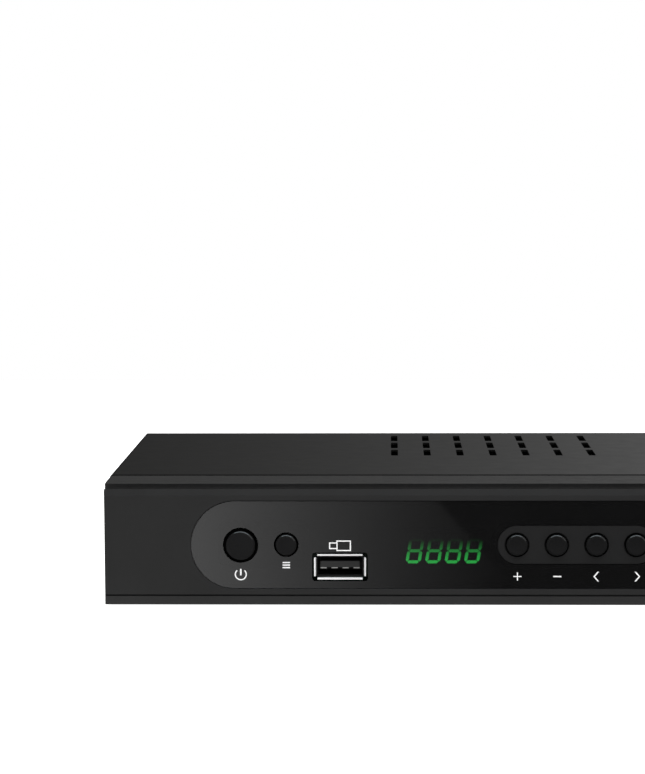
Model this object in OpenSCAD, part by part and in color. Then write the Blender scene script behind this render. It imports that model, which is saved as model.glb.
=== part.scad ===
// Digital broadcast receiver and recorder: a low steel case with a plastic front,
// six push keys, a four digit display, a USB port in front and sockets at the rear.
// Millimetres. +X is to the right seen from the front, +Y to the rear, +Z up.
// The origin is on the surface it stands on, at the middle of its bounding box.

/* [Case] */
// Width of the case from side to side
case_w = 192; // [188:1:212]
// Depth from the bezel's face to the cover's rear lip
case_d = 120; // [120:1:140]
// Height of the case above its feet
case_h = 34.2; // [34:0.1:38]
// Height of the rubber feet
foot_h = 2; // [1:0.5:4]
// Radius of the rubber feet
foot_r = 6; // [4:0.5:8]
// Depth of the plastic bezel, front to back
bezel_d = 20; // [20:1:26]
// Thickness of the case's sheet steel
steel_t = 0.6; // [0.5:0.1:1]

/* [Window] */
// Width of the window in the bezel
window_w = 142; // [138:1:150]
// Height of the window, which is also the diameter of its round ends
window_h = 25; // [22:0.1:25]
// Height of the window's middle above the bezel's bottom
window_z = 17.1; // [16.5:0.1:18]
// Thickness of the smoked window
lens_t = 1.3; // [1:0.1:1.4]

/* [Keys] */
// Diameter of the power key's cap
power_key_d = 8.2; // [7:0.1:9]
// Diameter of the five small caps
small_key_d = 5.9; // [5:0.1:6.4]
// How far a cap stands out of the bezel's face
key_proud = 1; // [0.8:0.1:1.5]
// Distance between neighbouring keys of the row of four
key_pitch = 11.1; // [10.5:0.1:12]
// Place of the row's first key, from the middle of the case
key_row_x = 20.65; // [20:0.05:22]
// Place of the power key
power_x = -56.95; // [-58:0.05:-56]
// Place of the menu key
menu_x = -44.1; // [-45:0.1:-43.5]
// Height of the small keys above the bezel's bottom
key_z = 17.15; // [16.5:0.05:17.8]
// Height of the power key above the bezel's bottom
power_z = 17; // [16.5:0.05:17.8]

/* [Display] */
// Height of a digit
digit_h = 7.2; // [6:0.1:8]
// Distance between digits
digit_pitch = 5.5; // [5.4:0.1:6]
// Place of the digits' middle, from the middle of the case
digit_x = 0.35; // [-1:0.05:1]
// Height of the digits' middle above the bezel's bottom
digit_z = 14.8; // [13.5:0.1:17]

/* [USB port] */
// Place of the USB port
usb_x = -29; // [-30:0.1:-28]
// Height of the port's middle above the bezel's bottom
usb_z = 10.85; // [10.5:0.05:13]

/* [Vents] */
// Number of slots in a row across the top
vent_columns = 7; // [3:1:9]
// Number of rows of slots
vent_rows = 3; // [1:1:3]
// Distance between slots across the case
vent_pitch_x = 10.1; // [6:0.1:11]
// Distance between rows of slots
vent_pitch_y = 17.9; // [15:0.1:18]
// Width of a slot
vent_w = 2.15; // [1.5:0.05:3]
// Length of a slot
vent_l = 13.8; // [8:0.1:14]
// Place of the slots' middle, from the middle of the case
vent_x = 16.8; // [0:0.1:20]
// Distance of the slots' middle from the bezel's face
vent_from_front = 87.6; // [80:0.1:90]

/* [Rear sockets] */
// Place of the aerial input, from the middle of the case
aerial_in_x = 59; // [58:1:60]
// Place of the aerial loop output
aerial_out_x = 43; // [42:1:44]
// Place of the digital video socket
hdmi_x = 19; // [18:1:22]
// Place of the nearest of the three picture and sound jacks
av_x = -1; // [-2:1:0]
// Distance between those jacks
av_pitch = 14; // [13:1:14]
// Place of the digital sound jack
coax_x = -43; // [-44:1:-43]
// Place of the power socket
dc_x = -56; // [-57:1:-56]

/* [Hidden] */
$fn = 64;

// The frame: where the case lies, with what stands out in front and behind it.
rear_proud = 9;
total_d = key_proud + case_d + rear_proud;
y_front = key_proud - total_d / 2;
y_rear = y_front + case_d;
half_w = case_w / 2;
z_bottom = foot_h;
z_top = foot_h + case_h;
play = 0.1;

// The bezel: walls, the leaning band and the groove under its top strip, which lies
// a little lower than the cover. Seen from above, the bezel narrows towards its face.
strip_drop = 0.2;
bezel_h = case_h - strip_drop;
bezel_draft = 0.6;
bezel_wall = 2;
bezel_front_t = 2.6;
strip_at = 3.6;
band_h = 1.7;
band_d = 1;
groove_h = 1.05;
groove_fall = 0.5;
groove_undercut = 0.5;
lip_h = 0.12;
corner_r = 0.6;
foot_edge = 0.4;
lower_line_z = 2.5;
lower_line_h = 0.5;
lower_line_d = 0.6;
lens_sunk = 0.15;
pocket_d = lens_sunk + lens_t;
ledge_w = 1.4;
pocket_flare = 0.2;
boss_r = 3.2;
bezel_boss_l = 6.9;
bezel_hole_l = 6.5;
bezel_boss_x = 70;
bezel_boss_z = z_bottom + 5;
front_screw_x = 81;
front_screw_z = [z_bottom + 6.5, z_bottom + 27];

// The stack behind the window, as distances from the bezel's face.
guide_plate_t = 0.8;
guide_end = 6;
key_flange_t = 0.8;
key_flange_w = 0.8;
switch_front = 8.1;
front_board_at = 11.6;
front_board_t = 1.2;
front_board_w = 172;
front_board_h = 26.8;
front_board_z = z_bottom + 3.2;
small_gap = 0.5;
power_gap = 0.85;
slide_play = 0.1;
trim_h = 10.9;
trim_proud = 0.1;
trim_edge = 0.15;
trim_w = 3 * key_pitch + trim_h;
trim_x = key_row_x + 1.5 * key_pitch;
switch_size = 6;
plunger_r = 1.75;
plunger_l = 2.4;

// The front keys, from left to right: power, menu, plus, minus, previous, next.
key_heights = [power_z, key_z, key_z, key_z, key_z, key_z];
key_places = [
    power_x, menu_x, key_row_x, key_row_x + key_pitch,
    key_row_x + 2 * key_pitch, key_row_x + 3 * key_pitch
];

// The steel case. A dark seam runs between the bezel and the cover.
seam_gap = 0.4;
cover_front = y_front + bezel_d + seam_gap;
chassis_front = y_front + bezel_d + play;
cover_bend_r = steel_t + 0.2;
tongue_l = 4;
tongue_top = z_bottom + bezel_h - bezel_wall - play;
lip_down = 6.6;
rear_inner = y_rear - 2 * steel_t - play;
rear_outer = rear_inner + steel_t;
chassis_half_w = half_w - steel_t - play;
side_flange_h = 10;
front_flange_h = 8.3;
cover_screw_x = [-80, 0, 80];
cover_screw_z = z_top - 3.6;
foot_x = 80;
foot_y = [y_front + 30, y_rear - 12];

// The main board.
board_z = z_bottom + steel_t + 5;
board_t = 1.6;
board_top = board_z + board_t;
board_lo = [-66, y_rear - 82];
board_hi = [72, rear_inner - 0.3];
standoff_at = [[-61, y_rear - 77], [67, y_rear - 77], [-62, y_rear - 22], [67, y_rear - 44]];
chip_at = [17, y_rear - 39];
chip_size = 17;
heatsink_size = 30;
heatsink_h = 10;

// The rear sockets.
aerial_z = board_top + 8;
aerial_sleeve_r = 4.75;
aerial_base_r = 5.6;
jack_z = board_top + 8;
jack_barrel_r = 4.15;
jack_base_r = 4.5;
jack_contact_r = 1.7;
jack_proud = 8.5;
jack_block_front = rear_inner - 12;
hdmi_z = board_top + 3.2;
hdmi_w = 14;
hdmi_h = 4.6;
dc_z = board_top + 6.2;
dc_bore_r = 3.15;

// The USB port.
usb_w = 12.5;
usb_h = 5.12;
usb_t = 0.3;
usb_flare = 0.75;
usb_tongue_front = 1.1;
usb_tongue_drop = 1;
usb_contact_pitch = 3.1;
usb_contact_w = 1.7;
usb_tongue_t = 1.84;
usb_hole_w = 15.6;
usb_hole_h = 8.05;

// ---- Helpers ----

// A block from its lowest corner to its highest one.
module block(lo, hi) {
    translate(lo) cube(hi - lo);
}

// A cylinder that runs towards the rear from y.
module rod_y(x, y, z, length, r) {
    translate([x, y, z]) rotate([-90, 0, 0]) cylinder(h = length, r = r);
}

// A flat shape drawn in X and Z, with its thickness towards the rear.
module plate_xz(y, t) {
    translate([0, y + t, 0]) rotate([90, 0, 0]) linear_extrude(t) children();
}

// A flat shape drawn in Y and Z, with its thickness towards +X.
module plate_yz(x, t) {
    translate([x, 0, 0]) rotate([90, 0, 90]) linear_extrude(t) children();
}

// A rectangle with round corners, about its middle.
module rounded_rect(w, h, r) {
    square([w, h - 2 * r], center = true);
    square([w - 2 * r, h], center = true);
    for (sx = [-1, 1], sy = [-1, 1])
        translate([sx * (w / 2 - r), sy * (h / 2 - r)]) circle(r = r);
}

// A rectangle with round ends, about its middle.
module stadium(w, h) {
    square([w - h, h], center = true);
    for (s = [-1, 1]) translate([s * (w - h) / 2, 0]) circle(d = h);
}

// The sloping ring cut round a stadium hole, widening towards the front by flare.
module stadium_flare(w, h, flare) {
    for (s = [-1, 1])
        translate([s * (w - h) / 2, 0, 0])
            rotate([90, 0, 0]) cylinder(h = flare, r1 = h / 2, r2 = h / 2 + flare);
    plate_yz(-(w - h) / 2, w - h)
        polygon([[0, -h / 2], [0, h / 2], [-flare, h / 2 + flare], [-flare, -h / 2 - flare]]);
}

// A screw with a domed cross-head. Its head stands on z = 0 and its shank runs down.
module pan_screw(shank_r, length, head_r, head_h) {
    recess_w = head_r * 0.3;
    recess_l = head_r * 1.1;
    difference() {
        union() {
            cylinder(h = head_h * 0.45, r = head_r);
            translate([0, 0, head_h * 0.45])
                cylinder(h = head_h * 0.55, r1 = head_r, r2 = head_r * 0.72);
            translate([0, 0, -length]) cylinder(h = length, r = shank_r);
        }
        for (a = [0, 90]) rotate([0, 0, a])
            translate([-recess_l / 2, -recess_w / 2, head_h * 0.45])
                cube([recess_l, recess_w, head_h]);
    }
}

// A tube along +Y.
module tube_y(x, y, z, length, r_out, r_in) {
    difference() {
        rod_y(x, y, z, length, r_out);
        rod_y(x, y - 1, z, length + 2, r_in);
    }
}

// ---- Casing ----

// The bezel's profile: height up its face against depth.
module bezel_outline() {
    groove_low = bezel_h - lip_h - groove_h;
    groove_back = strip_at + groove_undercut;
    translate([y_front, z_bottom]) polygon([
        [bezel_d, 0], [foot_edge, 0], [0, foot_edge],
        [0, lower_line_z], [lower_line_d, lower_line_z],
        [lower_line_d, lower_line_z + lower_line_h], [0, lower_line_z + lower_line_h],
        [0, groove_low - band_h], [band_d, groove_low],
        [groove_back, groove_low - groove_fall], [groove_back, bezel_h - lip_h],
        [strip_at, bezel_h - lip_h], [strip_at, bezel_h - lip_h / 2],
        [strip_at + lip_h / 2, bezel_h], [bezel_d, bezel_h]
    ]);
}

module bezel_plan() {
    front = half_w - bezel_draft;
    translate([0, y_front]) {
        polygon([
            [-front + corner_r, 0], [front - corner_r, 0], [front - corner_r, corner_r],
            [front, corner_r], [half_w, bezel_d], [-half_w, bezel_d],
            [-front, corner_r], [-front + corner_r, corner_r]
        ]);
        for (s = [-1, 1]) translate([s * (front - corner_r), corner_r]) circle(r = corner_r);
    }
}

module bezel_cavity() {
    top = bezel_h - bezel_wall;
    translate([y_front, z_bottom]) polygon([
        [bezel_d + 1, bezel_wall], [bezel_front_t, bezel_wall],
        [bezel_front_t, top - 2.6], [bezel_front_t + 3, top], [bezel_d + 1, top]
    ]);
}

module front_bezel() {
    window_at = [0, z_bottom + window_z];
    color([0.028, 0.028, 0.028]) difference() {
        union() {
            difference() {
                intersection() {
                    plate_yz(-half_w, case_w) bezel_outline();
                    plate_xz(y_front - 1, bezel_d + 2) translate([0, z_bottom + bezel_h / 2])
                        rounded_rect(case_w, bezel_h, cover_bend_r);
                    linear_extrude(z_top + 1) bezel_plan();
                }
                plate_yz(-half_w + bezel_wall, case_w - 2 * bezel_wall) bezel_cavity();
            }
            for (sx = [-1, 1], z = front_screw_z)
                rod_y(sx * front_screw_x, y_front + bezel_front_t / 2, z,
                    front_board_at - bezel_front_t / 2, boss_r);
            for (x = [-bezel_boss_x, 0, bezel_boss_x]) {
                rod_y(x, y_front + bezel_d - bezel_boss_l, bezel_boss_z, bezel_boss_l, boss_r);
                block([x - 2, y_front + bezel_d - bezel_boss_l, z_bottom + 1],
                    [x + 2, y_front + bezel_d, bezel_boss_z]);
            }
        }
        plate_xz(y_front - 1, 1 + pocket_d) translate(window_at) stadium(window_w, window_h);
        translate([0, y_front + pocket_flare, window_at[1]])
            stadium_flare(window_w, window_h, pocket_flare);
        plate_xz(y_front, bezel_front_t + 1) translate(window_at)
            stadium(window_w - 2 * ledge_w, window_h - 2 * ledge_w);
        for (sx = [-1, 1], z = front_screw_z)
            rod_y(sx * front_screw_x, y_front + front_board_at - 7, z, 8, 1.1);
        for (x = [-bezel_boss_x, 0, bezel_boss_x])
            rod_y(x, y_front + bezel_d - bezel_hole_l, bezel_boss_z, 8, 1.2);
    }
}

module window_lens() {
    y = y_front + lens_sunk;
    color([0.012, 0.012, 0.013]) difference() {
        plate_xz(y, lens_t) translate([0, z_bottom + window_z])
            stadium(window_w - 0.2, window_h - 0.2);
        rod_y(power_x, y - 1, z_bottom + power_z, lens_t + 2, power_key_d / 2 + power_gap);
        rod_y(menu_x, y - 1, z_bottom + key_z, lens_t + 2, small_key_d / 2 + small_gap);
        plate_xz(y - 1, lens_t + 2) translate([usb_x, z_bottom + usb_z])
            rounded_rect(usb_hole_w, usb_hole_h, 0.8);
        plate_xz(y - 1, lens_t + 2) translate([trim_x, z_bottom + key_z])
            stadium(trim_w + 0.2, trim_h + 0.2);
    }
}

// The pill-shaped plate round the row of four keys, with the sleeves they slide in.
module key_trim() {
    y = y_front + lens_sunk - trim_proud;
    back = y_front + pocket_d;
    color([0.022, 0.022, 0.022]) difference() {
        union() {
            plate_xz(y + trim_edge, back - y - trim_edge)
                translate([trim_x, z_bottom + key_z]) stadium(trim_w, trim_h);
            plate_xz(y, trim_edge) translate([trim_x, z_bottom + key_z])
                stadium(trim_w - 2 * trim_edge, trim_h - 2 * trim_edge);
            plate_xz(back, guide_plate_t) translate([trim_x, z_bottom + key_z])
                stadium(trim_w + 4, trim_h + 3);
            for (i = [2:5])
                rod_y(key_places[i], back, z_bottom + key_z, y_front + guide_end - back,
                    small_key_d / 2 + 1.1);
        }
        for (i = [2:5]) {
            rod_y(key_places[i], y - 1, z_bottom + key_z, back - y + 1,
                small_key_d / 2 + small_gap);
            rod_y(key_places[i], y - 1, z_bottom + key_z, 12, small_key_d / 2 + slide_play);
        }
    }
}

// The plate behind the window that holds the sleeves of the power and menu keys.
module button_guide() {
    back = y_front + pocket_d;
    middle = (power_x + menu_x) / 2;
    color([0.04, 0.04, 0.04]) difference() {
        union() {
            plate_xz(back, guide_plate_t) translate([middle, z_bottom + key_z])
                rounded_rect(menu_x - power_x + 13, 14, 3);
            rod_y(power_x, back, z_bottom + power_z, y_front + guide_end - back,
                power_key_d / 2 + 1.2);
            rod_y(menu_x, back, z_bottom + key_z, y_front + guide_end - back,
                small_key_d / 2 + 1.1);
        }
        rod_y(power_x, back - 1, z_bottom + power_z, 12, power_key_d / 2 + slide_play);
        rod_y(menu_x, back - 1, z_bottom + key_z, 12, small_key_d / 2 + slide_play);
    }
}

module cover_outline(w, top, r) {
    translate([-w / 2, z_bottom + play]) square([w, top - r - z_bottom - play]);
    translate([-w / 2 + r, z_bottom + play]) square([w - 2 * r, top - z_bottom - play]);
    for (s = [-1, 1]) translate([s * (w / 2 - r), top - r]) circle(r = r);
}

module vent_slots() {
    for (i = [0:vent_columns - 1], j = [0:vent_rows - 1])
        translate([
            vent_x + (i - (vent_columns - 1) / 2) * vent_pitch_x,
            y_front + vent_from_front + (j - (vent_rows - 1) / 2) * vent_pitch_y, 0
        ]) linear_extrude(z_top + 1) rounded_rect(vent_w, vent_l, 0.4);
}

// Ten upright slots through both sides, near the rear.
module side_slots() {
    for (i = [0:9])
        translate([0, y_rear - 22 - i * 5.5, z_bottom + case_h / 2 + 2])
            rotate([0, 90, 0]) linear_extrude(case_w + 2, center = true)
                rounded_rect(14, 1.9, 0.4);
}

module top_cover() {
    inner_w = case_w - 2 * steel_t;
    color([0.05, 0.05, 0.05]) difference() {
        union() {
            difference() {
                plate_xz(cover_front, y_rear - cover_front)
                    cover_outline(case_w, z_top, cover_bend_r);
                plate_xz(cover_front - 1, y_rear - cover_front + 2) translate([0, -1])
                    cover_outline(inner_w, z_top - steel_t + 1, cover_bend_r - steel_t);
            }
            block([-half_w + 1, y_rear - steel_t, z_top - lip_down],
                [half_w - 1, y_rear, z_top - 0.4]);
            block([-half_w + 6, cover_front, tongue_top - steel_t],
                [half_w - 6, cover_front + steel_t, z_top - 0.4]);
            block([-half_w + 6, cover_front - tongue_l, tongue_top - steel_t],
                [half_w - 6, cover_front + steel_t, tongue_top]);
        }
        translate([0, 0, z_top - steel_t - 1]) intersection() {
            translate([0, 0, -z_top + steel_t + 1]) vent_slots();
            block([-half_w, cover_front, -1], [half_w, y_rear, steel_t + 2]);
        }
        side_slots();
        for (x = cover_screw_x) rod_y(x, y_rear - 2, cover_screw_z, 4, 1.6);
    }
}

// Slots in the base under the main board.
module base_slots() {
    for (i = [0:7], j = [0, 1])
        translate([vent_x - 35 + i * 10, y_rear - 50 + j * 22, z_bottom - 1])
            linear_extrude(steel_t + 2) rounded_rect(2, 14, 0.9);
}

module rear_cutouts() {
    y = rear_inner - 1;
    t = steel_t + 2;
    for (x = [aerial_in_x, aerial_out_x]) rod_y(x, y, aerial_z, t, 6);
    for (i = [0:2]) rod_y(av_x - i * av_pitch, y, jack_z, t, jack_barrel_r + 0.5);
    rod_y(coax_x, y, jack_z, t, jack_barrel_r + 0.5);
    rod_y(dc_x, y, dc_z, t, 4.4);
    plate_xz(y, t) translate([hdmi_x, hdmi_z]) rounded_rect(hdmi_w + 2, hdmi_h + 2, 0.8);
    for (x = cover_screw_x) rod_y(x, y, cover_screw_z, t, 1.45);
}

module base_chassis() {
    w = chassis_half_w;
    z1 = z_bottom + steel_t;
    color([0.045, 0.045, 0.045]) difference() {
        union() {
            block([-w, chassis_front, z_bottom], [w, rear_outer, z1]);
            block([-w, rear_inner, z_bottom], [w, rear_outer, z_top - steel_t - play]);
            block([-w, chassis_front, z_bottom],
                [w, chassis_front + steel_t, z_bottom + front_flange_h]);
            for (s = [-1, 1])
                block([s > 0 ? w - steel_t : -w, chassis_front, z_bottom],
                    [s > 0 ? w : -w + steel_t, rear_outer, z_bottom + side_flange_h]);
        }
        rear_cutouts();
        base_slots();
        for (x = [-bezel_boss_x, 0, bezel_boss_x])
            rod_y(x, chassis_front - 1, bezel_boss_z, 4, 1.6);
        for (p = standoff_at)
            translate([p[0], p[1], z_bottom - 1]) cylinder(h = 4, r = 2.05);
    }
}

module rubber_feet() {
    color([0.02, 0.02, 0.02]) for (sx = [-1, 1], y = foot_y) translate([sx * foot_x, y, 0]) {
        cylinder(h = 0.4, r1 = foot_r - 0.4, r2 = foot_r);
        translate([0, 0, 0.4]) cylinder(h = foot_h - 0.4, r = foot_r);
    }
}

// ---- Screws and standoffs ----

module cover_screws() {
    color([0.1, 0.1, 0.1]) for (x = cover_screw_x)
        translate([x, y_rear, cover_screw_z]) rotate([-90, 0, 0]) pan_screw(1.4, 5, 2.8, 1.8);
}

module bezel_screws() {
    color([0.5, 0.5, 0.5]) for (x = [-bezel_boss_x, 0, bezel_boss_x])
        translate([x, chassis_front + steel_t, bezel_boss_z])
            rotate([-90, 0, 0]) pan_screw(1.15, 7, 2.6, 1.7);
}

module board_screws() {
    color([0.6, 0.6, 0.6]) for (p = standoff_at)
        translate([p[0], p[1], board_top]) pan_screw(1.25, 5, 2.7, 1.8);
}

module front_board_screws() {
    color([0.5, 0.5, 0.5]) for (sx = [-1, 1], z = front_screw_z)
        translate([sx * front_screw_x, y_front + front_board_at + front_board_t, z])
            rotate([-90, 0, 0]) pan_screw(1.05, 7, 2.4, 1.5);
}

module board_standoffs() {
    color([0.6, 0.6, 0.58]) for (p = standoff_at) translate([p[0], p[1], z_bottom])
        difference() {
            union() {
                cylinder(h = steel_t + 1, r = 2);
                translate([0, 0, steel_t]) cylinder(h = board_z - z_bottom - steel_t, r = 2.75);
            }
            translate([0, 0, steel_t + 0.4]) cylinder(h = 8, r = 1.3);
        }
}

// ---- Keys and switches ----

// Half the outline of a key: a dished cap with a rounded rim, a shank and a stop flange.
// Heights are measured back from the cap's face.
module key_outline(r) {
    rim = 0.6;
    dish = 0.22;
    depth = key_proud + guide_end + play;
    polygon(concat(
        [[0, dish]],
        [for (i = [1:5]) let (x = (r - rim) * i / 5) [x, dish * (1 - pow(i / 5, 2))]],
        [for (a = [18:18:90]) [r - rim + rim * sin(a), rim * (1 - cos(a))]],
        [[r, depth], [r + key_flange_w, depth], [r + key_flange_w, depth + key_flange_t],
            [0, depth + key_flange_t]]
    ));
}

module key(i) {
    r = (i == 0 ? power_key_d : small_key_d) / 2;
    color([0.014, 0.014, 0.014])
        translate([key_places[i], y_front - key_proud, z_bottom + key_heights[i]])
            rotate([-90, 0, 0]) rotate_extrude() key_outline(r);
}

module power_button() { key(0); }
module menu_button() { key(1); }
module plus_button() { key(2); }
module minus_button() { key(3); }
module previous_button() { key(4); }
module next_button() { key(5); }

// The post of a switch, which its key pushes.
module plunger(i) {
    color([0.12, 0.12, 0.12])
        rod_y(key_places[i], y_front + guide_end + play + key_flange_t,
            z_bottom + key_heights[i], plunger_l, plunger_r);
}

module power_plunger() { plunger(0); }
module menu_plunger() { plunger(1); }
module plus_plunger() { plunger(2); }
module minus_plunger() { plunger(3); }
module previous_plunger() { plunger(4); }
module next_plunger() { plunger(5); }

module tact_switches() {
    h = switch_size / 2;
    y = y_front + switch_front;
    color([0.35, 0.35, 0.36]) for (i = [0:5]) let (
        x = key_places[i],
        z = z_bottom + key_heights[i]
    ) difference() {
        union() {
            block([x - h, y, z - h], [x + h, y_front + front_board_at, z + h]);
            for (sx = [-1, 1], sz = [-2, 2])
                block([x + sx * (h + 0.4) - 0.5, y + 2.9, z + sz - 0.35],
                    [x + sx * (h + 0.4) + 0.5, y_front + front_board_at, z + sz + 0.35]);
        }
        rod_y(x, y - 1, z, 3.2, plunger_r + 0.1);
    }
}

// ---- Front board ----

module front_board() {
    y = y_front + front_board_at;
    color([0.05, 0.22, 0.1]) difference() {
        block([-front_board_w / 2, y, front_board_z],
            [front_board_w / 2, y + front_board_t, front_board_z + front_board_h]);
        for (sx = [-1, 1], z = front_screw_z)
            rod_y(sx * front_screw_x, y - 1, z, front_board_t + 2, 1.4);
    }
}

module display_housing() {
    z = z_bottom + digit_z;
    color([0.03, 0.03, 0.03])
        block([digit_x - 2 * digit_pitch - 1.2, y_front + 4, z - digit_h / 2 - 1.6],
            [digit_x + 2 * digit_pitch + 1.2, y_front + front_board_at, z + digit_h / 2 + 1.6]);
}

// A bar of a digit, lying along the first axis with pointed ends.
function bar(l, t) = [
    [-l / 2, 0], [-l / 2 + t / 2, t / 2], [l / 2 - t / 2, t / 2],
    [l / 2, 0], [l / 2 - t / 2, -t / 2], [-l / 2 + t / 2, -t / 2]
];

// The seven bars as [middle, upright?], on a digit of width w between its upright bars.
function bars(w, h) = [
    [[0, h / 2], false], [[0, 0], false], [[0, -h / 2], false],
    [[-w / 2, h / 4], true], [[w / 2, h / 4], true],
    [[-w / 2, -h / 4], true], [[w / 2, -h / 4], true]
];

module digit_bars() {
    t = 0.85;
    slant = 0.17;
    w = 3.45;
    h = digit_h - t;
    bar_gap = 0.2;
    for (b = bars(w, h)) {
        length = (b[1] ? h / 2 : w) - bar_gap;
        polygon([for (p = bar(length, t))
            let (x = b[0][0] + (b[1] ? p[1] : p[0]), y = b[0][1] + (b[1] ? p[0] : p[1]))
                [x + slant * y, y]]);
    }
}

module display_segments() {
    color([0.1, 0.8, 0.2]) for (i = [0:3])
        plate_xz(y_front + 3.9, 0.1)
            translate([digit_x + (i - 1.5) * digit_pitch, z_bottom + digit_z]) digit_bars();
}

module infrared_receiver() {
    y = y_front + front_board_at;
    x = window_w / 2 - window_h / 2 + 4;
    z = z_bottom + key_z;
    color([0.03, 0.03, 0.035]) {
        block([x - 3, y - 4, z - 3.5], [x + 3, y, z + 3.5]);
        translate([x, y - 4, z]) sphere(r = 2.3);
    }
}

// ---- USB port ----

module usb_lip(w, side) {
    reach = (side % 2 == 0 ? usb_h : usb_w) / 2;
    rotate([0, side * 90, 0]) translate([-w / 2, 0, 0])
        rotate([90, 0, 90]) linear_extrude(w)
            polygon([[1.7, reach], [1.7, reach + usb_t], [0.1, reach + usb_t + usb_flare],
                [0.1, reach + usb_flare - 0.1]]);
}

module usb_shell() {
    color([0.75, 0.75, 0.75]) {
        difference() {
            plate_xz(y_front + 1.6, front_board_at - 1.6) translate([usb_x, z_bottom + usb_z])
                square([usb_w + 2 * usb_t, usb_h + 2 * usb_t], center = true);
            plate_xz(y_front + 1, front_board_at - 1.4) translate([usb_x, z_bottom + usb_z])
                square([usb_w, usb_h], center = true);
        }
        translate([usb_x, y_front, z_bottom + usb_z]) for (side = [0:3])
            usb_lip(side % 2 == 0 ? usb_w + 0.2 : usb_h + 0.2, side);
    }
}

module usb_tongue() {
    y0 = y_front + usb_tongue_front;
    z = z_bottom + usb_z + usb_h / 2 - usb_tongue_drop;
    color([0.05, 0.05, 0.05]) {
        block([usb_x - 5.55, y0, z - usb_tongue_t], [usb_x + 5.55, y_front + 9.5, z]);
        block([usb_x - usb_w / 2 + 0.05, y_front + 9.4, z_bottom + usb_z - usb_h / 2 + 0.05],
            [usb_x + usb_w / 2 - 0.05, y_front + front_board_at - 0.4,
                z_bottom + usb_z + usb_h / 2 - 0.05]);
    }
}

module usb_contacts() {
    z = z_bottom + usb_z + usb_h / 2 - usb_tongue_drop - usb_tongue_t;
    color([0.75, 0.75, 0.73]) for (i = [0:3]) {
        x = usb_x + (i - 1.5) * usb_contact_pitch;
        block([x - usb_contact_w / 2, y_front + usb_tongue_front + 0.1, z - 0.3],
            [x + usb_contact_w / 2, y_front + 9.3, z - 0.01]);
    }
}

// ---- Cable between the boards ----

ribbon_x = -20;
ribbon_w = 20;
ribbon_t = 0.3;
ribbon_start = [board_lo[1] + 1, board_top + 1.4];
ribbon_end = [y_front + front_board_at + front_board_t + 1.2, z_bottom + 16];
ribbon_steps = 20;

// A point of the ribbon's curve, by De Casteljau's formula on four control points.
function blend(a, b, t) = a + (b - a) * t;
function curve(p, t) = let (
    q = [for (i = [0:2]) blend(p[i], p[i + 1], t)],
    s = [for (i = [0:1]) blend(q[i], q[i + 1], t)]
) blend(s[0], s[1], t);
ribbon_controls = [
    ribbon_start, ribbon_start + [-14, 0], ribbon_end + [0, -8], ribbon_end
];
ribbon_line = [for (i = [0:ribbon_steps]) curve(ribbon_controls, i / ribbon_steps)];
function side_step(line, i) = let (
    d = line[min(i + 1, len(line) - 1)] - line[max(i - 1, 0)]
) [-d[1], d[0]] / norm(d);

module ribbon_cable() {
    n = ribbon_steps;
    color([0.85, 0.85, 0.85]) plate_yz(ribbon_x - ribbon_w / 2, ribbon_w) polygon(concat(
        [for (i = [0:n]) ribbon_line[i] + side_step(ribbon_line, i) * ribbon_t / 2],
        [for (i = [n:-1:0]) ribbon_line[i] - side_step(ribbon_line, i) * ribbon_t / 2]
    ));
}

// The two housings that the ribbon's ends plug into.
module ribbon_sockets() {
    half = ribbon_w / 2 + 1.5;
    slot = 0.25;
    color([0.9, 0.88, 0.8]) {
        difference() {
            block([ribbon_x - half, ribbon_start[0] - 1, board_top],
                [ribbon_x + half, ribbon_start[0] + 4, board_top + 2.6]);
            block([ribbon_x - ribbon_w / 2 - 0.1, ribbon_start[0] - 2, ribbon_start[1] - slot],
                [ribbon_x + ribbon_w / 2 + 0.1, ribbon_start[0] + 0.1, ribbon_start[1] + slot]);
        }
        difference() {
            block([ribbon_x - half, y_front + front_board_at + front_board_t, ribbon_end[1] - 1],
                [ribbon_x + half, y_front + front_board_at + front_board_t + 2.4,
                    ribbon_end[1] + 4]);
            block([ribbon_x - ribbon_w / 2 - 0.1, ribbon_end[0] - slot, ribbon_end[1] - 2],
                [ribbon_x + ribbon_w / 2 + 0.1, ribbon_end[0] + slot, ribbon_end[1] + 0.1]);
        }
    }
}

// ---- Main board ----

module main_board() {
    color([0.05, 0.22, 0.1]) difference() {
        block([board_lo[0], board_lo[1], board_z], [board_hi[0], board_hi[1], board_top]);
        for (p = standoff_at) translate([p[0], p[1], board_z - 1]) cylinder(h = 4, r = 1.6);
    }
}

// A flat package lying on the board, about its middle.
module package(at, size, h) {
    translate([at[0] - size[0] / 2, at[1] - size[1] / 2, board_top])
        cube([size[0], size[1], h]);
}

module main_chip() {
    color([0.06, 0.06, 0.06]) package(chip_at, [chip_size, chip_size], 1.4);
}

module thermal_pad() {
    color([0.6, 0.6, 0.75]) translate([0, 0, 1.4])
        package(chip_at, [chip_size - 1, chip_size - 1], 0.5);
}

module heatsink() {
    fins = 9;
    fin_t = 1.2;
    gap = (heatsink_size - fins * fin_t) / (fins - 1);
    lo = [chip_at[0] - heatsink_size / 2, chip_at[1] - heatsink_size / 2, board_top + 1.9];
    color([0.75, 0.75, 0.76]) difference() {
        translate(lo) cube([heatsink_size, heatsink_size, heatsink_h]);
        for (i = [0:fins - 2])
            translate(lo + [fin_t + i * (fin_t + gap), -1, 2])
                cube([gap, heatsink_size + 2, heatsink_h]);
    }
}

module memory_chips() {
    color([0.05, 0.05, 0.05]) {
        for (dy = [-8, 8]) package(chip_at + [-26, dy], [9, 13], 1.1);
        package(chip_at + [-26, -24], [5.3, 5.3], 1.8);
    }
}

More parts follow.
